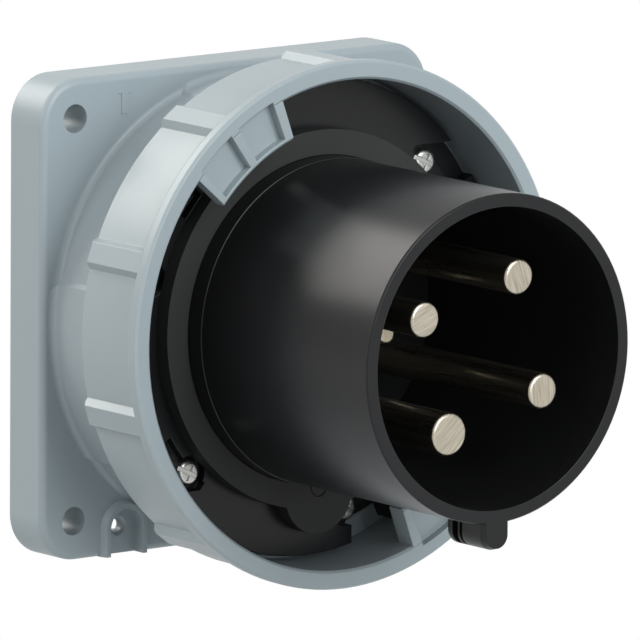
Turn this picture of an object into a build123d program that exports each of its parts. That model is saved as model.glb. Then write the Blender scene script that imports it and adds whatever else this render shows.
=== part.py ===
from build123d import *

# Straight panel inlet with a bayonet locking ring, three phases and earth.
#
# Every piece is drawn in a front view frame: x to the right, y up, z forward
# out of the panel, with z = 0 on the rear face of the flange. to_row_frame
# then stands it up, so that in the files +Z is up and the pins point along -Y.
# Clock angles are in degrees, clockwise from 12 as seen from the front.

import os
from math import atan2, cos, degrees, radians, sin

# Flange and collar, one moulding; the collar's radius drives the round pieces
COLLAR_R = 63.5
COLLAR_WALL = 4.1
COLLAR_LENGTH = 26.6
COLLAR_FOOT_R = 1.9
COLLAR_REAR_WALL = 7.6
COLLAR_PAD_RISE = 0.75
COLLAR_PAD_CLOCKS = (230.0, 341.0)
COLLAR_PAD_ARCS = (51.0, 38.0)
COLLAR_PAD_SLOPE = 20.0
COLLAR_SHOULDER_RISE = 3.1
COLLAR_SHOULDER_WIDTH = 1.7
FLANGE_MARGIN = 4.5
FLANGE_THICKNESS = 14.7
FLANGE_CORNER_R = 12.5
FLANGE_EDGE_R = 2.0
FLANGE_FRONT_WALL = 5.7
FLANGE_SKIRT_WALL = 4.3
FIXING_INSET = 11.25
FIXING_HOLE_R = 4.05
FIXING_BOSS_R = 8.2
LEDGE_THICKNESS = 9.6
LEDGE_WIDTH = 9.3
LEDGE_CLEARANCE = 0.3
SCREW_BOSS_R = 5.5
SCREW_BOSS_LENGTH = 15.3

# Drain arch on the front of the flange
ARCH_X = -39.5
ARCH_Y = -60.3
ARCH_CREST_R = 7.0
ARCH_CREST_WIDTH = 1.35
ARCH_DRAFT = 0.8
ARCH_RISE = 2.0
ARCH_RECESS = 2.4
DRAIN_HOLE_R = 1.95
DRAIN_SINK_R = 2.8

# Up arrow on the front of the flange
ARROW_X = -39.6
ARROW_Y = 60.75
ARROW_HEIGHT = 8.2
ARROW_WIDTH = 4.6
ARROW_SHAFT = 2.2
ARROW_HEAD = 2.4
ARROW_RISE = 0.25

# Locking ring
RING_LENGTH = 27.4
RING_BORE_GAP = 5.5
RING_WALL = 3.05
RING_LIP_RISE = 2.3
RING_LIP_LENGTH = 3.4
RING_LIP_CHAMFER = 0.7
RING_MOUTH_CHAMFER = 0.7
RING_WEB_THICKNESS = 2.4
RING_CLEARANCE = 0.3
RIB_COUNT = 10
RIB_FIRST = 0.9
RIB_CREST_WIDTH = 5.9
RIB_FOOT_WIDTH = 8.8
RIB_DROP = 0.2
RIB_END_CHAMFER = 0.9
LUG_CLOCK = 311.0
LUG_ARC = 29.1
LUG_REACH = 11.5
LUG_THICKNESS = 6.4
LUG_RAMP_DROP = 2.5
LUG_EDGE_CHAMFER = 0.7
LUG_POCKET_ARCS = (11.1, 10.8)
LUG_POCKET_SIDE_ARC = 1.9
LUG_POCKET_RIB_ARC = 2.6
LUG_POCKET_DEPTH = 2.7
LUG_POCKET_BITE = 1.5
LUG_POCKET_FRAME = 1.4
STOP_TOOTH_RISE = 2.0
STOP_TOOTH_ARC = 8.0
STOP_CLOCK = 75.0
RING_TURN = 45.0
STOP_SPARE_ARC = 1.0

# Black insert: front flange, shroud and plug wall
INSERT_FLANGE_RISE = 4.0
INSERT_FLANGE_THICKNESS = 6.7
SHROUD_INSET = 3.9
SHROUD_WALL = 3.7
SHROUD_LENGTH = 84.9
SHROUD_EDGE_CHAMFER = 0.4
SHROUD_FOOT_RISE = 0.3
SHROUD_FOOT_LENGTH = 10.8
PLUG_WALL = 4.0
PLUG_LENGTH = 18.3
SCREW_INSET = 1.9
INSERT_SCREW_FIRST = 46.0
INSERT_SCREW_STEP = 60.0
INSERT_SCREWED_PLACES = (0, 2, 3, 5)
SCREW_PLACES = 6
SCREW_RECESS_R = 5.1
SCREW_RECESS_DEPTH = 2.9
NOTCH_CLOSED_PLACE = 0
NOTCH_CLOSED_ARCS = (6.0, 12.9)
NOTCH_CLOSED_RISE = 5.057
NOTCH_OPEN_PLACE = 2
NOTCH_OPEN_ARCS = (12.5, 4.0)
NOTCH_OPEN_SHIFT = 1.69
NOTCH_INNER_REACH = 1.0
NOTCH_STEP_REACH = 3.8
NOTCH_DEPTH = 4.4
CATCH_CLOCK = 306.0
CATCH_ARC = 9.0
CATCH_LENGTH = 9.5
CATCH_DEPTH = 2.9

# Contact base inside the insert
BASE_FLOOR_RISE = 0.55
BASE_STEP_RISE = 2.2
BASE_RIM_THICKNESS = 4.0
BASE_GAP = 0.1
SLEEVE_WALL = 2.4
FLOOR_GROOVE_RISE = 2.4
FLOOR_GROOVE_WIDTH = 0.35
FLOOR_GROOVE_DEPTH = 0.3

# Key nose under the shroud's rim
KEY_WIDTH = 8.6
KEY_RISE = 7.7
KEY_LENGTH = 17.5
KEY_END_R = 1.8
KEY_NOSE_LENGTH = 2.2
KEY_NOSE_DRAFT = 0.6
KEY_SLOT_FIRST = 3.0
KEY_SLOT_WIDTHS = (2.4, 1.1)
KEY_SLOT_RIB = 0.8
KEY_SLOT_DEPTH = 2.8

# Contacts
POLE_PITCH_R = 24.0
EARTH_CLOCK = 210.0
PHASE_CLOCKS = (300.0, 30.0, 120.0)
PHASE_PIN_R = 5.0
EARTH_PIN_R = 6.0
PILOT_PIN_R = 3.0
POLE_REACH = 112.0
PILOT_REACH = 68.7
PIN_TIP_R = 1.0
PIN_CLEARANCE = 0.05
ROOT_RISE = 0.35
ROOT_STAND = 0.6
SHOULDER_RISE = 2.6
SHOULDER_LENGTH = 4.0
POLE_BARREL_R = 9.0
PILOT_BARREL_R = 5.5
POLE_BARREL_END = -18.0
PILOT_BARREL_END = -34.0
POLE_WIRE_R = 5.75
PILOT_WIRE_R = 2.5
WIRE_DEPTH = 30.0
PILOT_WIRE_DEPTH = 16.0

# Terminal carrier behind the panel
CARRIER_INSET = 0.5
CARRIER_DISC_THICKNESS = 7.7
CARRIER_TUBES_END = -22.0
CHAMBER_GAP = 0.3
CHAMBER_WALL = 2.7
PARTITION_WALL = 3.0
PARTITION_INSET = 4.0
CARRIER_SCREW_INSET = 7.6
CARRIER_BOSS_R = 4.5

# Screws
INSERT_SCREW_R = 2.4
INSERT_SCREW_LENGTH = 20.0
INSERT_SCREW_HEAD_R = 3.65
INSERT_SCREW_HEAD_HEIGHT = 2.6
INSERT_SCREW_DOME_R = 1.3
CARRIER_SCREW_R = 1.95
CARRIER_SCREW_LENGTH = 20.0
CARRIER_SCREW_HEAD_R = 3.4
CARRIER_SCREW_HEAD_HEIGHT = 2.4
CARRIER_SCREW_CHAMFER = 0.7
SCREW_SLOT_CLOCK = 115.0
SCREW_SLOT_WIDTH = 1.3
SCREW_CROSS_WIDTH = 1.1
SCREW_CROSS_SHARE = 1.25
SCREW_SLOT_DEPTH = 1.1
SCREW_HOLE_GAP = 0.05
POLE_CLAMP_R = 4.0
POLE_CLAMP_LENGTH = 8.0
POLE_CLAMP_PLACES = (-12.5, -1.5)
PILOT_CLAMP_R = 2.5
PILOT_CLAMP_LENGTH = 5.5
PILOT_CLAMP_PLACE = -29.0
CLAMP_WIRE_GAP = 0.1
CLAMP_ACCESS_GAP = 0.8
HEX_SOCKET_SHARE = 0.55
HEX_SOCKET_DEPTH = 3.0

# Seals
FRONT_GASKET_WIDTH = 7.5
FRONT_GASKET_THICKNESS = 5.0
FRONT_GASKET_GAP = 0.1
LOBE_R = 11.7
LOBE_REACH = 3.1
LOBE_MARK_R = 2.9
LOBE_MARK_REACH = 1.4
LOBE_MARK_WIDTH = 0.35
LOBE_MARK_DEPTH = 0.4
INSERT_SEAL_INSET = 4.1
INSERT_SEAL_WIDTH = 2.5
INSERT_SEAL_DEPTH = 2.0
PANEL_GASKET_INSET = 5.3
PANEL_GASKET_WIDTH = 3.4
PANEL_GASKET_DEPTH = 2.4
PIN_SEAL_LENGTH = 2.0
SEAL_GAP = 0.05

# Radii and spans that follow from the sizes above
COLLAR_BORE_R = COLLAR_R - COLLAR_WALL
COLLAR_SHOULDER_R = COLLAR_R + COLLAR_SHOULDER_RISE
FLANGE_SIDE = 2 * (COLLAR_R + FLANGE_MARGIN)
FIXING_SPACING = FLANGE_SIDE - 2 * FIXING_INSET
RING_EYE_R = COLLAR_R + RING_CLEARANCE
RING_BORE_R = COLLAR_R + RING_BORE_GAP
RING_BODY_R = RING_BORE_R + RING_WALL
RING_LIP_R = RING_BODY_R + RING_LIP_RISE
LUG_INNER_R = RING_BORE_R - LUG_REACH
INSERT_FLANGE_R = COLLAR_R + INSERT_FLANGE_RISE
INSERT_SCREW_PITCH_R = COLLAR_BORE_R - SCREW_INSET
LEDGE_BORE_R = COLLAR_BORE_R - LEDGE_WIDTH
PLUG_R = LEDGE_BORE_R - LEDGE_CLEARANCE
SHROUD_R = PLUG_R - SHROUD_INSET
SHROUD_BORE_R = SHROUD_R - SHROUD_WALL
SHROUD_FOOT_R = SHROUD_R + SHROUD_FOOT_RISE
KEY_REACH_R = SHROUD_R + KEY_RISE
NOTCH_INNER_R = INSERT_SCREW_PITCH_R - NOTCH_INNER_REACH
NOTCH_STEP_R = INSERT_SCREW_PITCH_R + NOTCH_STEP_REACH
FRONT_GASKET_R = SHROUD_R + FRONT_GASKET_WIDTH
CATCH_INNER_R = FRONT_GASKET_R + LEDGE_CLEARANCE
BASE_SEAT_R = PLUG_R - PLUG_WALL
BASE_R = BASE_SEAT_R - BASE_GAP
BASE_TOP_R = SHROUD_BORE_R - BASE_GAP
CARRIER_R = PLUG_R - CARRIER_INSET
CARRIER_SCREW_PITCH_R = PLUG_R - CARRIER_SCREW_INSET
PARTITION_REACH_R = CARRIER_SCREW_PITCH_R - PARTITION_INSET
INSERT_SEAL_R = LEDGE_BORE_R + INSERT_SEAL_INSET
PANEL_GASKET_R = COLLAR_BORE_R + PANEL_GASKET_INSET
POLE_CLOCKS = PHASE_CLOCKS + (EARTH_CLOCK,)
PARTITION_CLOCKS = tuple(clock + 45.0 for clock in POLE_CLOCKS)

# Levels along the axis, all measured forward from the flange's rear face
FLANGE_FRONT = FLANGE_THICKNESS
COLLAR_FRONT = FLANGE_FRONT + COLLAR_LENGTH
INSERT_FRONT = COLLAR_FRONT + INSERT_FLANGE_THICKNESS
INSERT_FLOOR = INSERT_FRONT + BASE_FLOOR_RISE
BASE_STEP = COLLAR_FRONT + BASE_STEP_RISE
BASE_REAR = BASE_STEP - BASE_RIM_THICKNESS
SHROUD_RIM = INSERT_FRONT + SHROUD_LENGTH
PLUG_REAR = COLLAR_FRONT - PLUG_LENGTH
RING_WEB_FRONT = COLLAR_FRONT - RING_CLEARANCE
RING_REAR = RING_WEB_FRONT - RING_WEB_THICKNESS
RING_FRONT = RING_REAR + RING_LENGTH
SHOULDER_FRONT = RING_REAR - RING_CLEARANCE
SHOULDER_REAR = SHOULDER_FRONT - COLLAR_SHOULDER_WIDTH
CARRIER_REAR = PLUG_REAR - CARRIER_DISC_THICKNESS
SHOULDER_TOP = PLUG_REAR + SHOULDER_LENGTH
SEAL_TOP = SHOULDER_TOP + PIN_SEAL_LENGTH
ROOT_TOP = INSERT_FLOOR + ROOT_STAND

FREE = (Align.NONE, Align.NONE, Align.NONE)
CENTRED = (Align.CENTER, Align.CENTER, Align.CENTER)
HALF_TURN = Rot(0, 0, 180)


def polar(radius, clock):
    """Front view point at a radius and a clock angle."""
    return radius * sin(radians(clock)), radius * cos(radians(clock))


def drum(radius, low, high, at=(0.0, 0.0)):
    """Cylinder along the axis between two levels."""
    return Pos(at[0], at[1], low) * Cylinder(radius, high - low, align=FREE)


def tube(outer, inner, low, high, at=(0.0, 0.0)):
    return drum(outer, low, high, at) - drum(inner, low, high, at)


def sector(outer, inner, clocks, low, high):
    """Part of a tube between two clock angles."""
    start, end = clocks
    wedge = Cylinder(outer, high - low, arc_size=end - start, align=FREE)
    turned = Pos(0, 0, low) * Rot(0, 0, 90 - end) * wedge
    return turned - drum(inner, low, high)


def block(width, depth, low, high, at=(0.0, 0.0), clock=0.0):
    """Upright box; its depth lies along the given clock angle."""
    shape = Box(width, depth, high - low, align=CENTRED)
    return Pos(at[0], at[1], (low + high) / 2) * Rot(0, 0, -clock) * shape


def insert_screw_clock(index):
    return INSERT_SCREW_FIRST + index * INSERT_SCREW_STEP


def insert_screw_place(index):
    return polar(INSERT_SCREW_PITCH_R, insert_screw_clock(index))


def carrier_screw_places():
    return [polar(CARRIER_SCREW_PITCH_R, clock) for clock in PARTITION_CLOCKS]


# Flange housing

def fixing_places():
    half = FIXING_SPACING / 2
    return [(x, y) for x in (-half, half) for y in (-half, half)]


def flange_plate():
    plate = extrude(RectangleRounded(FLANGE_SIDE, FLANGE_SIDE, FLANGE_CORNER_R), FLANGE_THICKNESS)
    return fillet(plate.edges().group_by(Axis.Z)[-1], FLANGE_EDGE_R)


def rear_pockets():
    """Hollow corners behind the flange, clear of the collar tube and the bosses."""
    inner_side = FLANGE_SIDE - 2 * FLANGE_SKIRT_WALL
    outline = RectangleRounded(inner_side, inner_side, FLANGE_CORNER_R - FLANGE_SKIRT_WALL)
    outline -= Circle(COLLAR_BORE_R + COLLAR_REAR_WALL)
    for place in fixing_places():
        outline -= Pos(*place) * Circle(FIXING_BOSS_R)
    return extrude(outline, FLANGE_THICKNESS - FLANGE_FRONT_WALL)


def footed_wall(radius, top):
    """Turned wall of the collar with a hollow fillet at its foot."""
    foot_radius = radius + COLLAR_FOOT_R
    foot_level = FLANGE_FRONT + COLLAR_FOOT_R
    bow = COLLAR_FOOT_R * cos(radians(45))
    with BuildSketch(Plane.XZ) as section:
        with BuildLine():
            Polyline(
                (radius, foot_level),
                (radius, top),
                (COLLAR_BORE_R, top),
                (COLLAR_BORE_R, FLANGE_FRONT),
                (foot_radius, FLANGE_FRONT),
            )
            ThreePointArc(
                (foot_radius, FLANGE_FRONT),
                (foot_radius - bow, foot_level - bow),
                (radius, foot_level),
            )
        make_face()
    return revolve(section.sketch, Axis.Z)


def pad_wedge(start, arc):
    """Prism that limits a raised pad, its ends sloping gently outward."""
    end = start + arc
    beyond = COLLAR_R + COLLAR_R / 3
    corners = [
        (0.0, 0.0),
        polar(COLLAR_R, start),
        polar(beyond, start + COLLAR_PAD_SLOPE),
        polar(beyond, end - COLLAR_PAD_SLOPE),
        polar(COLLAR_R, end),
    ]
    outline = make_face(Polyline(*corners, close=True))
    return Pos(0, 0, FLANGE_FRONT) * extrude(outline, SHOULDER_REAR - FLANGE_FRONT)


def collar():
    """Round collar with raised pads and the shoulder that stops the ring."""
    body = drum(COLLAR_BORE_R, FLANGE_FRONT, COLLAR_FRONT) + footed_wall(COLLAR_R, COLLAR_FRONT)
    raised = footed_wall(COLLAR_R + COLLAR_PAD_RISE, SHOULDER_REAR)
    for start, arc in zip(COLLAR_PAD_CLOCKS, COLLAR_PAD_ARCS):
        pad = raised & pad_wedge(start, arc)
        body += pad
        body += HALF_TURN * pad
    body += drum(COLLAR_SHOULDER_R, SHOULDER_REAR, SHOULDER_FRONT)
    return body


def arch_outline(radius, foot):
    """Arch open at the bottom: a half circle on two legs."""
    legs = Pos(0, -foot / 2) * Rectangle(2 * radius, foot)
    return Circle(radius) + legs


def drain_arch():
    """Arch rib with sloping flanks, its legs ending at the flange's lower edge."""
    foot = FLANGE_SIDE / 2 + ARCH_Y
    outline = arch_outline(ARCH_CREST_R + ARCH_DRAFT, foot + ARCH_DRAFT)
    slope = degrees(atan2(ARCH_DRAFT, ARCH_RISE))
    rib = extrude(outline, FLANGE_EDGE_R)
    rib += Pos(0, 0, FLANGE_EDGE_R) * extrude(outline, ARCH_RISE, taper=slope)
    placed = Pos(ARCH_X, ARCH_Y, FLANGE_FRONT - FLANGE_EDGE_R) * rib
    return placed & block(FLANGE_SIDE, FLANGE_SIDE, 0, FLANGE_FRONT + ARCH_RISE)


def drain_recess():
    foot = FLANGE_SIDE / 2 + ARCH_Y + ARCH_DRAFT
    inner = arch_outline(ARCH_CREST_R - ARCH_CREST_WIDTH, foot)
    floor = FLANGE_FRONT - ARCH_RECESS
    cut = Pos(ARCH_X, ARCH_Y, floor) * extrude(inner, ARCH_RECESS + ARCH_RISE)
    sink_depth = DRAIN_SINK_R - DRAIN_HOLE_R
    sink = Cone(DRAIN_HOLE_R, DRAIN_SINK_R, sink_depth, align=FREE)
    cut += Pos(ARCH_X, ARCH_Y, floor - sink_depth) * sink
    return cut + drum(DRAIN_HOLE_R, 0, FLANGE_FRONT, (ARCH_X, ARCH_Y))


def up_arrow():
    top = ARROW_HEIGHT / 2
    barb = top - ARROW_HEAD
    corners = [
        (0.0, top),
        (-ARROW_WIDTH / 2, barb),
        (-ARROW_SHAFT / 2, barb),
        (-ARROW_SHAFT / 2, -top),
        (ARROW_SHAFT / 2, -top),
        (ARROW_SHAFT / 2, barb),
        (ARROW_WIDTH / 2, barb),
    ]
    outline = make_face(Polyline(*corners, close=True))
    return Pos(ARROW_X, ARROW_Y, FLANGE_FRONT) * extrude(outline, ARROW_RISE)


def stop_slots():
    """Slots in the collar's neck that limit how far the ring turns."""
    floor_r = RING_EYE_R - STOP_TOOTH_RISE - RING_CLEARANCE
    start = STOP_CLOCK - STOP_TOOTH_ARC / 2 - RING_TURN - STOP_SPARE_ARC
    end = STOP_CLOCK + STOP_TOOTH_ARC / 2 + STOP_SPARE_ARC
    slots = sector(COLLAR_SHOULDER_R, floor_r, (start, end), SHOULDER_FRONT, COLLAR_FRONT)
    return slots + HALF_TURN * slots


def flange_housing():
    body = flange_plate() + collar()
    body += drain_arch()
    body += up_arrow()
    body -= drain_recess()
    body -= drum(COLLAR_BORE_R, 0, COLLAR_FRONT - LEDGE_THICKNESS)
    body -= drum(LEDGE_BORE_R, 0, COLLAR_FRONT)
    body -= rear_pockets()
    for place in fixing_places():
        body -= drum(FIXING_HOLE_R, 0, FLANGE_FRONT, place)
    boss_top = COLLAR_FRONT - LEDGE_THICKNESS
    boss_rear = boss_top - SCREW_BOSS_LENGTH
    for index in range(SCREW_PLACES):
        boss = drum(SCREW_BOSS_R, boss_rear, boss_top, insert_screw_place(index))
        body += boss & drum(COLLAR_R - SCREW_HOLE_GAP, boss_rear, boss_top)
    for index in range(SCREW_PLACES):
        hole_low = COLLAR_FRONT - INSERT_SCREW_LENGTH
        body -= drum(INSERT_SCREW_R + SCREW_HOLE_GAP, hole_low, COLLAR_FRONT, insert_screw_place(index))
    body -= stop_slots()
    seal_inner = INSERT_SEAL_R - INSERT_SEAL_WIDTH
    body -= tube(INSERT_SEAL_R, seal_inner, COLLAR_FRONT - INSERT_SEAL_DEPTH, COLLAR_FRONT)
    body -= tube(PANEL_GASKET_R, PANEL_GASKET_R - PANEL_GASKET_WIDTH, 0, PANEL_GASKET_DEPTH)
    return body


# Locking ring

def ring_shell():
    """Turned section: web that runs on the collar, wall and front lip."""
    with BuildSketch(Plane.XZ) as section:
        with BuildLine():
            Polyline(
                (RING_EYE_R, RING_REAR),
                (RING_BODY_R, RING_REAR),
                (RING_BODY_R, RING_FRONT - RING_LIP_LENGTH),
                (RING_LIP_R, RING_FRONT - RING_LIP_LENGTH),
                (RING_LIP_R, RING_FRONT - RING_LIP_CHAMFER),
                (RING_LIP_R - RING_LIP_CHAMFER, RING_FRONT),
                (RING_BORE_R + RING_MOUTH_CHAMFER, RING_FRONT),
                (RING_BORE_R, RING_FRONT - RING_MOUTH_CHAMFER),
                (RING_BORE_R, RING_WEB_FRONT),
                (RING_EYE_R, RING_WEB_FRONT),
                close=True,
            )
        make_face()
    return revolve(section.sketch, Axis.Z)


def grip_rib():
    """Raised bar along the ring with sloping flanks and a bevelled rear end."""
    crest = RING_LIP_R - RIB_DROP
    half_crest, half_foot = RIB_CREST_WIDTH / 2, RIB_FOOT_WIDTH / 2
    root = RING_BORE_R + RING_CLEARANCE
    foot = (RING_BODY_R ** 2 - half_foot ** 2) ** 0.5
    corners = [
        (-half_crest, crest),
        (half_crest, crest),
        (half_foot, foot),
        (half_crest, root),
        (-half_crest, root),
        (-half_foot, foot),
    ]
    outline = make_face(Polyline(*corners, close=True))
    rib = Pos(0, 0, RING_REAR) * extrude(outline, RING_LENGTH - RING_LIP_LENGTH)
    rear_edge = rib.edges().group_by(Axis.Z)[0].sort_by(Axis.Y)[-1]
    return chamfer(rear_edge, RIB_END_CHAMFER)


def lug_pockets():
    low = RING_FRONT - LUG_POCKET_DEPTH
    outer = RING_BORE_R + LUG_POCKET_BITE
    inner = LUG_INNER_R + LUG_POCKET_FRAME
    pockets = Part()
    start = LUG_CLOCK + LUG_POCKET_SIDE_ARC
    for arc in LUG_POCKET_ARCS:
        pockets += sector(outer, inner, (start, start + arc), low, RING_FRONT)
        start += arc + LUG_POCKET_RIB_ARC
    return pockets


def bayonet_lug():
    """Inner lug, bevelled at its inner front edge, with a ramp on its rear face."""
    low = RING_FRONT - LUG_THICKNESS
    middle = LUG_CLOCK + LUG_ARC / 2
    clocks = (LUG_CLOCK, LUG_CLOCK + LUG_ARC)
    lug = sector(RING_BORE_R + RING_CLEARANCE, LUG_INNER_R, clocks, low, RING_FRONT)
    inner_edge = lug.edges().group_by(Axis.Z)[-1].sort_by(SortBy.LENGTH)[-2]
    lug = chamfer(inner_edge, LUG_EDGE_CHAMFER)
    chord = 2 * RING_BORE_R * sin(radians(LUG_ARC / 2))
    slope = degrees(atan2(LUG_RAMP_DROP, chord))
    slab = Box(2 * chord, RING_BORE_R, LUG_RAMP_DROP, align=CENTRED)
    ramp = Rot(0, 0, -middle) * Pos(0, RING_BORE_R, low) * Rot(0, slope, 0) * slab
    return lug - ramp


def stop_tooth(clock):
    half = STOP_TOOTH_ARC / 2
    inner = RING_EYE_R - STOP_TOOTH_RISE
    return sector(RING_EYE_R + RING_CLEARANCE, inner, (clock - half, clock + half), RING_REAR, RING_WEB_FRONT)


def locking_ring():
    ring = ring_shell()
    rib = grip_rib()
    for index in range(RIB_COUNT):
        ring += Rot(0, 0, -RIB_FIRST - index * 360 / RIB_COUNT) * rib
    lug = bayonet_lug()
    pockets = lug_pockets()
    ring += lug
    ring += HALF_TURN * lug
    ring -= pockets
    ring -= HALF_TURN * pockets
    for clock in (STOP_CLOCK, STOP_CLOCK + 180):
        ring += stop_tooth(clock)
    return ring


# Black insert

def notch(index, arcs, floor):
    """Stepped sector about a screw place, to be trimmed along one straight side."""
    clock = insert_screw_clock(index)
    before, after = arcs
    span = (clock - before, clock + after)
    beyond = INSERT_FLANGE_R + NOTCH_INNER_REACH
    cut = sector(beyond, NOTCH_INNER_R, span, INSERT_FRONT - SCREW_RECESS_DEPTH, INSERT_FRONT)
    return cut + sector(beyond, NOTCH_STEP_R, span, floor, INSERT_FRONT)


def closed_notch():
    """Lowered corner beside a screw, straight along its upper edge."""
    floor = INSERT_FRONT - NOTCH_DEPTH
    top = insert_screw_place(NOTCH_CLOSED_PLACE)[1] + NOTCH_CLOSED_RISE
    upper = (0, top + INSERT_FLANGE_R / 2)
    trim = block(3 * INSERT_FLANGE_R, INSERT_FLANGE_R, floor, INSERT_FRONT, upper)
    return notch(NOTCH_CLOSED_PLACE, NOTCH_CLOSED_ARCS, floor) - trim


def open_notch():
    """Lowered corner that is cut through outside a step, straight along its side."""
    side = insert_screw_place(NOTCH_OPEN_PLACE)[0] + NOTCH_OPEN_SHIFT
    inward = (side - INSERT_FLANGE_R / 2, 0)
    trim = block(INSERT_FLANGE_R, 3 * INSERT_FLANGE_R, COLLAR_FRONT, INSERT_FRONT, inward)
    return notch(NOTCH_OPEN_PLACE, NOTCH_OPEN_ARCS, COLLAR_FRONT) - trim


def front_flange():
    """Disc that traps the ring, with screw recesses and lowered notches."""
    disc = drum(INSERT_FLANGE_R, COLLAR_FRONT, INSERT_FRONT)
    for index in range(SCREW_PLACES):
        place = insert_screw_place(index)
        disc -= drum(SCREW_RECESS_R, INSERT_FRONT - SCREW_RECESS_DEPTH, INSERT_FRONT, place)
        disc -= drum(INSERT_SCREW_R + SCREW_HOLE_GAP, COLLAR_FRONT, INSERT_FRONT, place)
    for corner in (closed_notch(), open_notch()):
        disc -= corner
        disc -= HALF_TURN * corner
    outer = CATCH_INNER_R + CATCH_LENGTH
    for start in (CATCH_CLOCK, CATCH_CLOCK + 180):
        catch = (start, start + CATCH_ARC)
        disc -= sector(outer, CATCH_INNER_R, catch, INSERT_FRONT - CATCH_DEPTH, INSERT_FRONT)
    return disc


def key_nose():
    """Polarising nose at 6 o'clock, a U in the front view, slotted near its rear."""
    round_y = -(KEY_REACH_R - KEY_WIDTH / 2)
    outline = Pos(0, round_y) * Circle(KEY_WIDTH / 2)
    outline += Pos(0, (round_y - SHROUD_BORE_R) / 2) * Rectangle(KEY_WIDTH, -round_y - SHROUD_BORE_R)
    rear = SHROUD_RIM - KEY_LENGTH
    nose = Pos(0, 0, rear) * extrude(outline, KEY_LENGTH - KEY_NOSE_LENGTH)
    nose = fillet(nose.edges().group_by(Axis.Z)[0], KEY_END_R)
    draft = degrees(atan2(KEY_NOSE_DRAFT, KEY_NOSE_LENGTH))
    nose += Pos(0, 0, SHROUD_RIM - KEY_NOSE_LENGTH) * extrude(outline, KEY_NOSE_LENGTH, taper=draft)
    slot_low = rear + KEY_SLOT_FIRST
    for width in KEY_SLOT_WIDTHS:
        for side in (-1, 1):
            middle = (side * (KEY_WIDTH - KEY_SLOT_DEPTH) / 2, -KEY_REACH_R)
            nose -= block(KEY_SLOT_DEPTH, 2 * KEY_RISE, slot_low, slot_low + width, middle)
        slot_low += width + KEY_SLOT_RIB
    return nose - drum(SHROUD_BORE_R, rear, SHROUD_RIM)


def shroud():
    wall = drum(SHROUD_R, COLLAR_FRONT, SHROUD_RIM)
    wall = chamfer(wall.edges().group_by(Axis.Z)[-1], SHROUD_EDGE_CHAMFER)
    wall += drum(SHROUD_FOOT_R, COLLAR_FRONT, INSERT_FRONT + SHROUD_FOOT_LENGTH)
    return wall + key_nose()


def insert_body():
    body = front_flange() + shroud()
    body += drum(PLUG_R, PLUG_REAR, COLLAR_FRONT)
    body -= drum(SHROUD_BORE_R, BASE_STEP, SHROUD_RIM)
    return body - drum(BASE_SEAT_R, PLUG_REAR, BASE_STEP)


def pole_list():
    """Place, pin radius and barrel radius of each of the five contacts."""
    poles = [(polar(POLE_PITCH_R, clock), PHASE_PIN_R, POLE_BARREL_R) for clock in PHASE_CLOCKS]
    poles.append((polar(POLE_PITCH_R, EARTH_CLOCK), EARTH_PIN_R, POLE_BARREL_R))
    poles.append(((0.0, 0.0), PILOT_PIN_R, PILOT_BARREL_R))
    return poles


def contact_insert():
    """Base that carries the contacts: floor, rim under the step, sleeves and bosses."""
    body = drum(BASE_TOP_R, BASE_STEP, INSERT_FLOOR) + drum(BASE_R, BASE_REAR, BASE_STEP)
    for place, pin_r, _ in pole_list():
        body += drum(pin_r + SHOULDER_RISE + SLEEVE_WALL, PLUG_REAR, BASE_REAR, place)
    for place in carrier_screw_places():
        boss = drum(CARRIER_BOSS_R, PLUG_REAR, BASE_REAR, place)
        body += boss & drum(BASE_R, PLUG_REAR, BASE_REAR)
    for place, pin_r, _ in pole_list():
        body -= drum(pin_r + ROOT_RISE + PIN_CLEARANCE, PLUG_REAR, INSERT_FLOOR, place)
        body -= drum(pin_r + SHOULDER_RISE + SEAL_GAP, PLUG_REAR, SEAL_TOP, place)
        groove_r = pin_r + FLOOR_GROOVE_RISE
        floor = INSERT_FLOOR - FLOOR_GROOVE_DEPTH
        body -= tube(groove_r + FLOOR_GROOVE_WIDTH, groove_r, floor, INSERT_FLOOR, place)
    for place in carrier_screw_places():
        top = CARRIER_REAR + CARRIER_SCREW_LENGTH
        body -= drum(CARRIER_SCREW_R + SCREW_HOLE_GAP, PLUG_REAR, top, place)
    return body


# Contacts and their seals

def contact(place, pin_r, barrel_r, tip, barrel_end, wire_r, wire_depth):
    """Pin, thicker root, clamped shoulder and wire barrel turned from one bar."""
    pin = drum(pin_r, SHOULDER_TOP, tip, place)
    pin = fillet(pin.edges().group_by(Axis.Z)[-1], PIN_TIP_R)
    pin += drum(pin_r + ROOT_RISE, SHOULDER_TOP, ROOT_TOP, place)
    pin += drum(pin_r + SHOULDER_RISE, PLUG_REAR, SHOULDER_TOP, place)
    pin += drum(barrel_r, barrel_end, PLUG_REAR, place)
    return pin - drum(wire_r, barrel_end, barrel_end + wire_depth, place)


def clamp_axis(place, clock, level):
    """Frame at the contact's axis with z pointing outward along a clock angle."""
    return Pos(place[0], place[1], level) * Rot(0, 0, 90 - clock) * Rot(0, 90, 0)


def pole_contact(clock, pin_r):
    place = polar(POLE_PITCH_R, clock)
    tip = FLANGE_FRONT + POLE_REACH
    body = contact(place, pin_r, POLE_BARREL_R, tip, POLE_BARREL_END, POLE_WIRE_R, WIRE_DEPTH)
    for level in POLE_CLAMP_PLACES:
        hole = Cylinder(POLE_CLAMP_R + SCREW_HOLE_GAP, POLE_BARREL_R, align=FREE)
        body -= clamp_axis(place, clock, level) * hole
    return body


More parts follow.
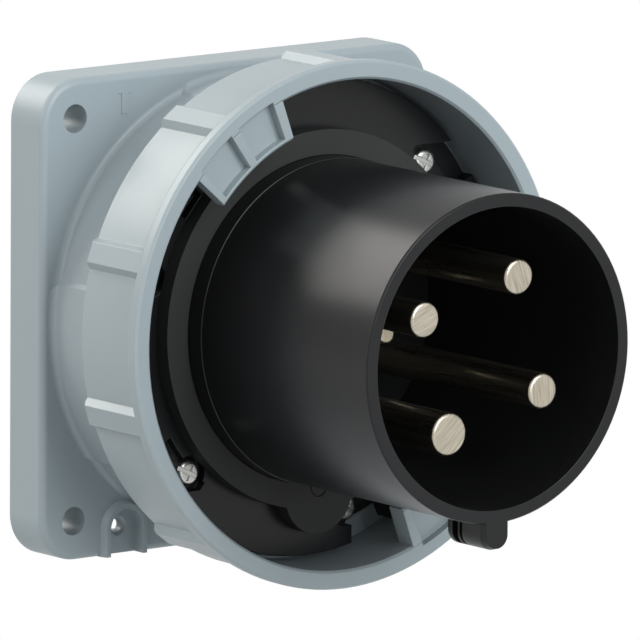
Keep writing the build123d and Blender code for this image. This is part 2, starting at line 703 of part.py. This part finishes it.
def pilot_contact():
    centre = (0.0, 0.0)
    tip = FLANGE_FRONT + PILOT_REACH
    end = PILOT_BARREL_END
    body = contact(centre, PILOT_PIN_R, PILOT_BARREL_R, tip, end, PILOT_WIRE_R, PILOT_WIRE_DEPTH)
    hole = Cylinder(PILOT_CLAMP_R + SCREW_HOLE_GAP, PILOT_BARREL_R, align=FREE)
    return body - clamp_axis(centre, 0, PILOT_CLAMP_PLACE) * hole


def clamp_screw(radius, length, wire_r, place, clock, level):
    """Headless clamp screw, backed out until it just clears the wire bore."""
    start = wire_r + CLAMP_WIRE_GAP
    screw = Pos(0, 0, start) * Cylinder(radius, length, align=FREE)
    socket = extrude(RegularPolygon(radius * HEX_SOCKET_SHARE, 6), HEX_SOCKET_DEPTH)
    screw -= Pos(0, 0, start + length - HEX_SOCKET_DEPTH) * socket
    return clamp_axis(place, clock, level) * screw


def pole_clamp_screws(clock):
    place = polar(POLE_PITCH_R, clock)
    return Compound([
        clamp_screw(POLE_CLAMP_R, POLE_CLAMP_LENGTH, POLE_WIRE_R, place, clock, level)
        for level in POLE_CLAMP_PLACES
    ])


def pilot_clamp_screw():
    return clamp_screw(
        PILOT_CLAMP_R, PILOT_CLAMP_LENGTH, PILOT_WIRE_R, (0.0, 0.0), 0, PILOT_CLAMP_PLACE
    )


def pin_seal(place, pin_r):
    outer = pin_r + SHOULDER_RISE
    return tube(outer, pin_r + ROOT_RISE + SEAL_GAP, SHOULDER_TOP, SEAL_TOP, place)


# Terminal carrier

def terminal_carrier():
    body = drum(CARRIER_R, CARRIER_REAR, PLUG_REAR)
    for clock in PARTITION_CLOCKS:
        reach = PARTITION_REACH_R
        wall = block(PARTITION_WALL, reach, CARRIER_TUBES_END, CARRIER_REAR, polar(reach / 2, clock), clock)
        body += wall
    for place, _, barrel_r in pole_list():
        body += drum(barrel_r + CHAMBER_GAP + CHAMBER_WALL, CARRIER_TUBES_END, CARRIER_REAR, place)
    for place, _, barrel_r in pole_list():
        body -= drum(barrel_r + CHAMBER_GAP, CARRIER_TUBES_END, PLUG_REAR, place)
    for clock in POLE_CLOCKS:
        place = polar(POLE_PITCH_R, clock)
        for level in POLE_CLAMP_PLACES:
            hole = Cylinder(POLE_CLAMP_R + CLAMP_ACCESS_GAP, 2 * POLE_BARREL_R, align=FREE)
            body -= clamp_axis(place, clock, level) * hole
    for place in carrier_screw_places():
        body -= drum(CARRIER_SCREW_R + SCREW_HOLE_GAP, CARRIER_REAR, PLUG_REAR, place)
    return body


# Screws with pan heads

def slotted_screw(radius, length, head, head_r, head_height):
    """Screw that points back along -z, its seat at z = 0, with a slot and a cross."""
    floor = head_height - SCREW_SLOT_DEPTH
    across = 3 * head_r
    slot = block(SCREW_SLOT_WIDTH, across, floor, head_height, clock=SCREW_SLOT_CLOCK)
    span = SCREW_CROSS_SHARE * head_r
    cross = block(SCREW_CROSS_WIDTH, span, floor, head_height, clock=SCREW_SLOT_CLOCK + 90)
    return drum(radius, -length, 0) + head - slot - cross


def insert_screws():
    head_r, height = INSERT_SCREW_HEAD_R, INSERT_SCREW_HEAD_HEIGHT
    head = drum(head_r, 0, height)
    head = fillet(head.edges().group_by(Axis.Z)[-1], INSERT_SCREW_DOME_R)
    screw = slotted_screw(INSERT_SCREW_R, INSERT_SCREW_LENGTH, head, head_r, height)
    seat = INSERT_FRONT - SCREW_RECESS_DEPTH
    return Compound([
        Pos(*insert_screw_place(index), seat) * screw for index in INSERT_SCREWED_PLACES
    ])


def carrier_screws():
    head_r, height = CARRIER_SCREW_HEAD_R, CARRIER_SCREW_HEAD_HEIGHT
    head = drum(head_r, 0, height)
    head = chamfer(head.edges().group_by(Axis.Z)[-1], CARRIER_SCREW_CHAMFER)
    screw = slotted_screw(CARRIER_SCREW_R, CARRIER_SCREW_LENGTH, head, head_r, height)
    return Compound([
        Pos(*place, CARRIER_REAR) * Rot(180, 0, 0) * screw for place in carrier_screw_places()
    ])


# Seals

def front_gasket():
    top = INSERT_FRONT + FRONT_GASKET_THICKNESS
    lobe_at = (0, -SHROUD_R - LOBE_REACH)
    mark_at = (0, -SHROUD_R - LOBE_MARK_REACH)
    ring = drum(FRONT_GASKET_R, INSERT_FRONT, top) + drum(LOBE_R, INSERT_FRONT, top, lobe_at)
    ring -= drum(SHROUD_FOOT_R + FRONT_GASKET_GAP, INSERT_FRONT, top)
    return ring - tube(LOBE_MARK_R, LOBE_MARK_R - LOBE_MARK_WIDTH, top - LOBE_MARK_DEPTH, top, mark_at)


def insert_seal():
    outer = INSERT_SEAL_R - SEAL_GAP
    inner = INSERT_SEAL_R - INSERT_SEAL_WIDTH + SEAL_GAP
    return tube(outer, inner, COLLAR_FRONT - INSERT_SEAL_DEPTH, COLLAR_FRONT)


def panel_gasket():
    outer = PANEL_GASKET_R - SEAL_GAP
    inner = PANEL_GASKET_R - PANEL_GASKET_WIDTH + SEAL_GAP
    return tube(outer, inner, 0, PANEL_GASKET_DEPTH)


def phase_pin_seals():
    return Compound([pin_seal(polar(POLE_PITCH_R, clock), PHASE_PIN_R) for clock in PHASE_CLOCKS])


def nodes():
    parts = {
        "flange_housing": flange_housing(),
        "locking_ring": locking_ring(),
        "insert_body": insert_body(),
        "contact_insert": contact_insert(),
        "front_gasket": front_gasket(),
        "insert_seal": insert_seal(),
        "panel_gasket": panel_gasket(),
        "insert_screws": insert_screws(),
        "earth_pin": pole_contact(EARTH_CLOCK, EARTH_PIN_R),
        "pilot_pin": pilot_contact(),
        "phase_pin_seals": phase_pin_seals(),
        "earth_pin_seal": pin_seal(polar(POLE_PITCH_R, EARTH_CLOCK), EARTH_PIN_R),
        "pilot_pin_seal": pin_seal((0.0, 0.0), PILOT_PIN_R),
        "terminal_carrier": terminal_carrier(),
        "carrier_screws": carrier_screws(),
        "earth_terminal_screws": pole_clamp_screws(EARTH_CLOCK),
        "pilot_terminal_screw": pilot_clamp_screw(),
    }
    for number, clock in enumerate(PHASE_CLOCKS, start=1):
        parts[f"phase_pin_{number}"] = pole_contact(clock, PHASE_PIN_R)
        parts[f"phase_terminal_screws_{number}"] = pole_clamp_screws(clock)
    return parts


def to_row_frame(shape):
    return Rot(90, 0, 0) * shape


os.makedirs("parts", exist_ok=True)
for name, shape in nodes().items():
    export_step(to_row_frame(shape), f"parts/{name}.step")
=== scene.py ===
from math import cos, radians, sin

import bpy
from mathutils import Matrix, Vector


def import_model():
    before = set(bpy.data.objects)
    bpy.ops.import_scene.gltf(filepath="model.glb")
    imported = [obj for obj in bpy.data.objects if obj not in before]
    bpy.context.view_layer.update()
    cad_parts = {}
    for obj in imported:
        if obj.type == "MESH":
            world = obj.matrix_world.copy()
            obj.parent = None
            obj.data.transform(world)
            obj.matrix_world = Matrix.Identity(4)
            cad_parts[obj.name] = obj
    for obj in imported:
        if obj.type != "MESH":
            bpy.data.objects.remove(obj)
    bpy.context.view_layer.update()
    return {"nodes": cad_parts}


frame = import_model()
NODES = frame["nodes"]

# Camera, fitted to the photograph's 640 by 640 frame
PICTURE_SIDE = 640.0
FOCAL_PIXELS = 14800.0
SENSOR = 36.0
CLIP_NEAR = 0.05
CLIP_FAR = 60.0
VIEW_AZIMUTH = -37.893
VIEW_ELEVATION = 9.650
CAMERA_ROLL = 0.383
CAMERA_DISTANCE = 4.1217
AIM = Vector((0.00001, -0.05298, -0.00022))

# Floor: dim for the light that it throws back, pale where it is seen
FLOOR_LEVEL = -0.62
FLOOR_SIDE = 30.0
FLOOR_ROUGHNESS = 0.8
FLOOR_BOUNCE = (0.42, 0.425, 0.43)
FLOOR_SEEN = (0.86, 0.87, 0.88)
SHADOW_FLOOR_R = (0.9, 2.4)

# World
SKY = (0.96, 0.985, 1.0)
SKY_STRENGTH = 0.5
SEEN_STRENGTH = 1.0

# Lamps: place, target, side in metres, watts, colour
WHITE = (1.0, 1.0, 1.0)
WARM = (1.0, 0.975, 0.93)
COOL = (0.88, 0.955, 1.0)
COLLAR_MIDDLE = (0, -0.05, 0)
LAMPS = {
    "top_back_softbox": ((-0.380, 0.848, 0.704), (-0.026, -0.086, 0.038), 0.7, 7.7, WARM),
    "left_softbox": ((-1.5, 0.15, 0.75), COLLAR_MIDDLE, 1.2, 9.6, WHITE),
    "front_softbox": ((0.15, -1.95, 0.75), COLLAR_MIDDLE, 1.4, 28.0, COOL),
    "top_front_lamp": ((0.0, -1.55, 1.35), (0, -0.12, 0), 0.45, 4.5, WHITE),
}

# Moulded surfaces: texture scales in cells per metre, lengths in metres
DRIFT_SCALE = 22.0
BLOTCH_SCALE = 60.0
GRAIN = 0.0004
RUBBER_GRAIN = 0.0007
GRAIN_STRENGTH = 0.12
GRAIN_DEPTH = 0.1
EDGE_R = 0.0004
HOUSING_EDGE_R = 0.0002
RUBBER_EDGE_R = 0.0003

# Contacts: the pin's streaks run along it, the brushed lines across its end at each one's own angle
PIN_STREAKS = (420.0, 9.0, 420.0)
END_LINES = (1900.0, 1.0, 110.0)
END_NORMAL_Y = -0.7
BRUSH_TURNS = {
    "phase_pin_1": -67,
    "phase_pin_2": 19,
    "phase_pin_3": 6,
    "earth_pin": -49,
    "pilot_pin": 6,
}

# Screws
DRAWN_STREAKS = (180.0, 180.0, 1600.0)
STREAK_TURN = (0.7, 0.3, 0.4)


def place_camera():
    data = bpy.data.cameras.new("photo_camera")
    data.sensor_width = SENSOR
    data.lens = FOCAL_PIXELS * SENSOR / PICTURE_SIDE
    data.clip_start, data.clip_end = CLIP_NEAR, CLIP_FAR
    camera = bpy.data.objects.new("photo_camera", data)
    bpy.context.scene.collection.objects.link(camera)
    a, e, roll = radians(VIEW_AZIMUTH), radians(VIEW_ELEVATION), radians(CAMERA_ROLL)
    back = Vector((sin(a) * cos(e), -cos(a) * cos(e), sin(e)))
    right = Vector((cos(a), sin(a), 0.0))
    up = back.cross(right)
    side = right * cos(roll) + up * sin(roll)
    top = up * cos(roll) - right * sin(roll)
    place = Matrix.Translation(AIM + back * CAMERA_DISTANCE)
    camera.matrix_world = place @ Matrix((side, top, back)).transposed().to_4x4()
    bpy.context.scene.camera = camera


# Node tree helpers

class Tree:
    """Short way to add and wire shader nodes."""

    def __init__(self, material):
        self.tree = material.node_tree
        self.nodes = self.tree.nodes
        self.links = self.tree.links

    def add(self, kind, **values):
        node = self.nodes.new(kind)
        for name, value in values.items():
            setattr(node, name, value)
        return node

    def link(self, out, into):
        self.links.new(out, into)


def new_material(name):
    material = bpy.data.materials.new(name)
    material.use_nodes = True
    tree = Tree(material)
    shader = tree.nodes["Principled BSDF"]
    return material, tree, shader


def object_coords(tree, scale=(1.0, 1.0, 1.0), turn=(0.0, 0.0, 0.0)):
    """Object coordinates, turned first and stretched after."""
    coords = tree.add("ShaderNodeTexCoord")
    turned = tree.add("ShaderNodeMapping")
    turned.inputs["Rotation"].default_value = turn
    stretched = tree.add("ShaderNodeMapping")
    stretched.inputs["Scale"].default_value = scale
    tree.link(coords.outputs["Object"], turned.inputs["Vector"])
    tree.link(turned.outputs["Vector"], stretched.inputs["Vector"])
    return stretched.outputs["Vector"]


def noise(tree, vector, scale, detail=2.0, roughness=0.5):
    node = tree.add("ShaderNodeTexNoise")
    node.inputs["Scale"].default_value = scale
    node.inputs["Detail"].default_value = detail
    node.inputs["Roughness"].default_value = roughness
    tree.link(vector, node.inputs["Vector"])
    return node.outputs["Fac"]


def spread(tree, value, low, high, source=(0.25, 0.75)):
    """Maps a texture's middle range to low..high."""
    node = tree.add("ShaderNodeMapRange")
    node.inputs["From Min"].default_value = source[0]
    node.inputs["From Max"].default_value = source[1]
    node.inputs["To Min"].default_value = low
    node.inputs["To Max"].default_value = high
    tree.link(value, node.inputs["Value"])
    return node.outputs["Result"]


def maths(tree, operation, first, second):
    """Math node on two values, each an output or a number."""
    node = tree.add("ShaderNodeMath", operation=operation)
    for socket, value in zip(node.inputs, (first, second)):
        if isinstance(value, (int, float)):
            socket.default_value = value
        else:
            tree.link(value, socket)
    return node.outputs["Value"]


def mix_colors(tree, factor, dark, light):
    """Mix of two fixed colours."""
    node = tree.add("ShaderNodeMix", data_type="RGBA")
    tree.link(factor, node.inputs["Factor"])
    for name, color in (("A", dark), ("B", light)):
        socket = next(s for s in node.inputs if s.name == name and s.type == "RGBA")
        socket.default_value = (*color, 1.0)
    return next(s for s in node.outputs if s.type == "RGBA")


def bump(tree, shader, height, strength, distance, edge=None):
    """Surface relief, over edges that are rounded by the edge radius where one is given."""
    node = tree.add("ShaderNodeBump")
    node.inputs["Strength"].default_value = strength
    node.inputs["Distance"].default_value = distance
    tree.link(height, node.inputs["Height"])
    if edge:
        bevel = tree.add("ShaderNodeBevel", samples=8)
        bevel.inputs["Radius"].default_value = edge
        tree.link(bevel.outputs["Normal"], node.inputs["Normal"])
    tree.link(node.outputs["Normal"], shader.inputs["Normal"])


# Materials

def moulded(name, dark, light, rough, grain=GRAIN, edge=EDGE_R, specular=0.5):
    """Moulded plastic: slow colour drift, fine grain in the gloss and the surface."""
    material, tree, shader = new_material(name)
    vector = object_coords(tree)
    drift = noise(tree, vector, DRIFT_SCALE, 3.0)
    shader.inputs["Specular IOR Level"].default_value = specular
    tree.link(mix_colors(tree, drift, dark, light), shader.inputs["Base Color"])
    fine = noise(tree, vector, 1.0 / grain, 2.0)
    blotch = noise(tree, vector, BLOTCH_SCALE, 4.0)
    tree.link(spread(tree, blotch, *rough), shader.inputs["Roughness"])
    bump(tree, shader, fine, GRAIN_STRENGTH, grain * GRAIN_DEPTH, edge)
    return material


def metal(name, dark, light, rough):
    """Metal material, and a function that gives it a grain in colour, gloss and relief."""
    material, tree, shader = new_material(name)
    shader.inputs["Metallic"].default_value = 1.0

    def finish(grain, strength, depth, edge):
        base = mix_colors(tree, spread(tree, grain, 0.0, 1.0), dark, light)
        tree.link(base, shader.inputs["Base Color"])
        tree.link(spread(tree, grain, *rough), shader.inputs["Roughness"])
        bump(tree, shader, grain, strength, depth, edge)
        return material

    return tree, finish


def turned_contact(name, dark, light, rough, line_turn):
    """Plated contact: soft streaks along the pin, straight brushed lines on its end."""
    tree, finish = metal(name, dark, light, rough)
    along = noise(tree, object_coords(tree, PIN_STREAKS), 1.0, 3.0, 0.55)
    across = object_coords(tree, END_LINES, (0.0, radians(line_turn), 0.0))
    lines = noise(tree, across, 1.0, 2.0, 0.5)
    coords = tree.add("ShaderNodeTexCoord")
    parts = tree.add("ShaderNodeSeparateXYZ")
    tree.link(coords.outputs["Normal"], parts.inputs["Vector"])
    end = maths(tree, "LESS_THAN", parts.outputs["Y"], END_NORMAL_Y)
    shank = maths(tree, "SUBTRACT", 1.0, end)
    on_end = maths(tree, "MULTIPLY", lines, end)
    on_shank = maths(tree, "MULTIPLY", along, shank)
    return finish(maths(tree, "ADD", on_end, on_shank), 0.2, 0.00002, 0.0002)


def plated(name, dark, light, rough):
    """Plated metal with fine drawn streaks."""
    tree, finish = metal(name, dark, light, rough)
    streaks = object_coords(tree, DRAWN_STREAKS, STREAK_TURN)
    return finish(noise(tree, streaks, 1.0, 3.0, 0.5), 0.05, 0.00001, 0.00025)


def paint(node, material):
    """Gives a CAD node its material in every slot."""
    piece = NODES[node]
    piece.data.materials.clear()
    piece.data.materials.append(material)


# Studio

def area_light(name, place, target, side, power, color):
    data = bpy.data.lights.new(name, "AREA")
    data.shape = "RECTANGLE"
    data.size, data.size_y = side, side
    data.energy = power
    data.color = color
    lamp = bpy.data.objects.new(name, data)
    bpy.context.scene.collection.objects.link(lamp)
    lamp.location = place
    lamp.rotation_mode = "QUATERNION"
    lamp.rotation_quaternion = (Vector(target) - Vector(place)).to_track_quat("-Z", "Y")


def light_studio():
    for name, lamp in LAMPS.items():
        area_light(name, *lamp)


def seen_directly(tree):
    """One for camera, glossy and transmission rays, nought for the light that falls on things."""
    path = tree.add("ShaderNodeLightPath")
    seen = maths(tree, "MAXIMUM", path.outputs["Is Camera Ray"], path.outputs["Is Glossy Ray"])
    return maths(tree, "MAXIMUM", seen, path.outputs["Is Transmission Ray"])


def world():
    """White towards the camera and in reflections, a soft pale light otherwise."""
    scene_world = bpy.data.worlds.new("studio")
    bpy.context.scene.world = scene_world
    scene_world.use_nodes = True
    tree = Tree(scene_world)
    background = tree.nodes["Background"]
    background.inputs["Color"].default_value = (*SKY, 1.0)
    background.inputs["Strength"].default_value = SKY_STRENGTH
    white = tree.add("ShaderNodeBackground")
    white.inputs["Strength"].default_value = SEEN_STRENGTH
    mix = tree.add("ShaderNodeMixShader")
    tree.link(seen_directly(tree), mix.inputs["Fac"])
    tree.link(background.outputs["Background"], mix.inputs[1])
    tree.link(white.outputs["Background"], mix.inputs[2])
    tree.link(mix.outputs["Shader"], tree.nodes["World Output"].inputs["Surface"])


def floor():
    """Pale floor below the held part: shadowed under it, white further out, clear from below."""
    half = FLOOR_SIDE / 2
    mesh = bpy.data.meshes.new("floor")
    corners = [(-half, -half), (half, -half), (half, half), (-half, half)]
    mesh.from_pydata([(x, y, FLOOR_LEVEL) for x, y in corners], [], [(0, 1, 2, 3)])
    piece = bpy.data.objects.new("floor", mesh)
    bpy.context.scene.collection.objects.link(piece)
    material, tree, shader = new_material("pale_floor")
    tone = mix_colors(tree, seen_directly(tree), FLOOR_BOUNCE, FLOOR_SEEN)
    tree.link(tone, shader.inputs["Base Color"])
    shader.inputs["Roughness"].default_value = FLOOR_ROUGHNESS
    geometry = tree.add("ShaderNodeNewGeometry")
    length = tree.add("ShaderNodeVectorMath", operation="LENGTH")
    tree.link(geometry.outputs["Position"], length.inputs[0])
    far = spread(tree, length.outputs["Value"], 0.0, 1.0, SHADOW_FLOOR_R)
    white = tree.add("ShaderNodeEmission")
    seen = tree.add("ShaderNodeMixShader")
    tree.link(maths(tree, "MULTIPLY", seen_directly(tree), far), seen.inputs["Fac"])
    tree.link(shader.outputs["BSDF"], seen.inputs[1])
    tree.link(white.outputs["Emission"], seen.inputs[2])
    clear = tree.add("ShaderNodeBsdfTransparent")
    below = tree.add("ShaderNodeMixShader")
    tree.link(geometry.outputs["Backfacing"], below.inputs["Fac"])
    tree.link(seen.outputs["Shader"], below.inputs[1])
    tree.link(clear.outputs["BSDF"], below.inputs[2])
    tree.link(below.outputs["Shader"], tree.nodes["Material Output"].inputs["Surface"])
    mesh.materials.append(material)


def rubber(name, dark, light, specular):
    rough = (0.60, 0.70)
    return moulded(name, dark, light, rough, RUBBER_GRAIN, RUBBER_EDGE_R, specular)


def nickel(node, turn):
    dark, light = (0.34, 0.305, 0.24), (0.60, 0.545, 0.445)
    return turned_contact(f"{node}_nickel", dark, light, (0.24, 0.34), turn)


def dress():
    """Paints every node: the screws are those that no other finish names."""
    grey = moulded("grey_plastic", (0.325, 0.375, 0.395), (0.35, 0.40, 0.42), (0.34, 0.42),
                   edge=HOUSING_EDGE_R)
    ring = moulded("grey_ring_plastic", (0.335, 0.385, 0.40), (0.36, 0.41, 0.425), (0.31, 0.39))
    black = moulded("black_plastic", (0.008, 0.008, 0.0085), (0.012, 0.012, 0.0125),
                    (0.27, 0.32), specular=0.27)
    gasket = rubber("gasket_rubber", (0.024, 0.024, 0.0225), (0.033, 0.033, 0.031), 0.3)
    seal = rubber("seal_rubber", (0.02, 0.02, 0.02), (0.03, 0.03, 0.03), 0.35)
    contacts = {node: nickel(node, turn) for node, turn in BRUSH_TURNS.items()}
    steel = plated("zinc_steel", (0.52, 0.515, 0.49), (0.59, 0.585, 0.56), (0.28, 0.34))
    finishes = {
        "flange_housing": grey,
        "locking_ring": ring,
        "insert_body": black,
        "contact_insert": black,
        "terminal_carrier": black,
        "front_gasket": gasket,
        "insert_seal": seal,
        "panel_gasket": seal,
        "phase_pin_seals": seal,
        "earth_pin_seal": seal,
        "pilot_pin_seal": seal,
        **contacts,
    }
    for node in NODES:
        paint(node, finishes.get(node, steel))


bpy.context.scene.view_settings.view_transform = "Standard"
place_camera()
world()
light_studio()
floor()
dress()
